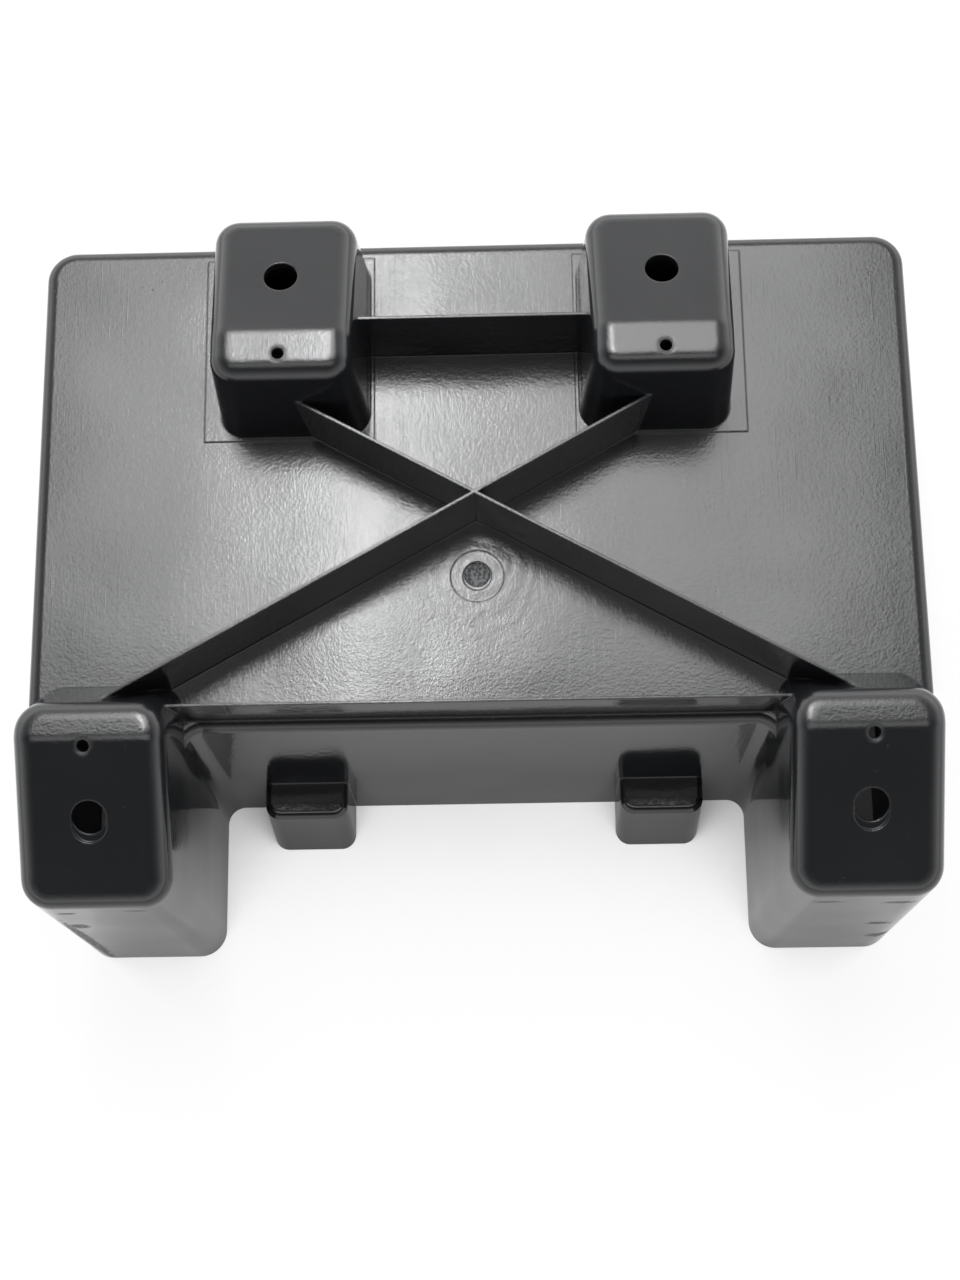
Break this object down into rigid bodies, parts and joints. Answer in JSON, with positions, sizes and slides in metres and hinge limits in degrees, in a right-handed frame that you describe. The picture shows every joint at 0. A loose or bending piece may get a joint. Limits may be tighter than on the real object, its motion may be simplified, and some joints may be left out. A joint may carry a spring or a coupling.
{
  "type": "battery case",
  "caption": "Moulded black plastic battery case, upside down on its open rim, with sloping bolt feet, crossing ribs on the underside, a recessed side and hook lugs.",
  "frame": {"origin": "centre of the object's box, on the plane of the open rim that it lies on", "axes": "+Z out of the underside, which is up here as in the picture; +X along the long side; -Y towards the side with the recessed wall and the hook lugs"},
  "size_m": [0.3168, 0.2516, 0.1487],
  "materials": {
    "case_plastic": "moulded, satin black"
  },
  "bodies": {
    "root": {"battery_case": "case_plastic"}
  },
  "joints": []
}
